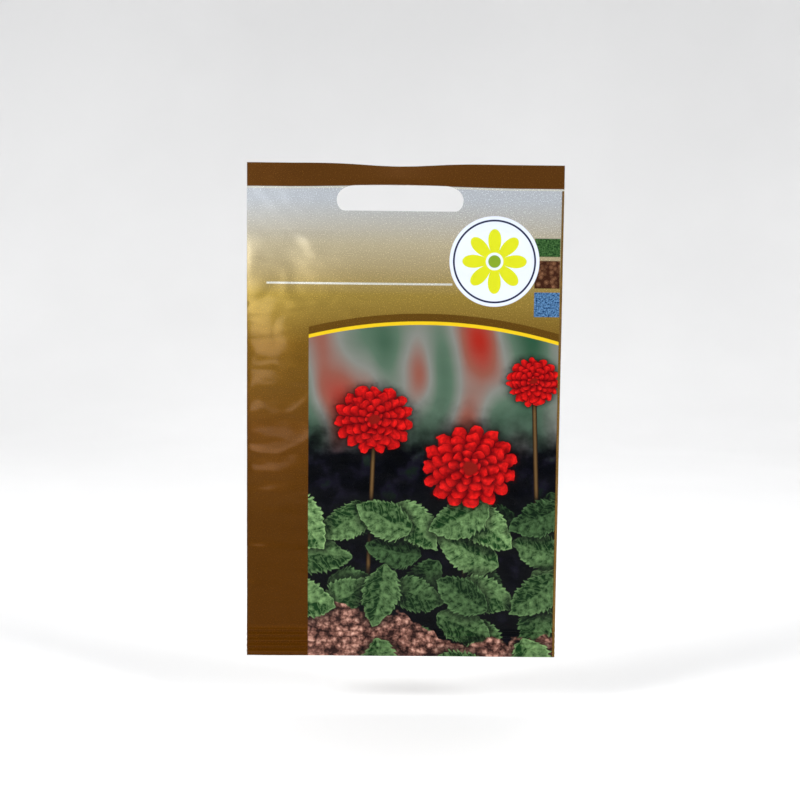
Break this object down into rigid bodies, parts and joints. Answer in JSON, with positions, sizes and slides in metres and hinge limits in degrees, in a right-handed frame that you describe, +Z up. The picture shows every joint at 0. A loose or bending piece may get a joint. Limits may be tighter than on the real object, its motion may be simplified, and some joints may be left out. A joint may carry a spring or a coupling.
{
  "type": "seed packet",
  "caption": "Flat pillow-shaped film packet of flower seeds with a sealed header, a wide hang slot, a crimped bottom seal and a fin seam on its back.",
  "frame": {"origin": "middle of the hang slot's upper edge, where a peg carries the packet", "axes": "+Z up the packet from its crimped bottom seal to its header, -Y out of the printed front, +X to the right as the front is seen"},
  "size_m": [0.08, 0.0063, 0.1266],
  "materials": {
    "printed_film": "gloss",
    "seed_coat": "matte"
  },
  "bodies": {
    "root": {"film_pouch": "printed_film", "seeds": "seed_coat"}
  },
  "joints": []
}
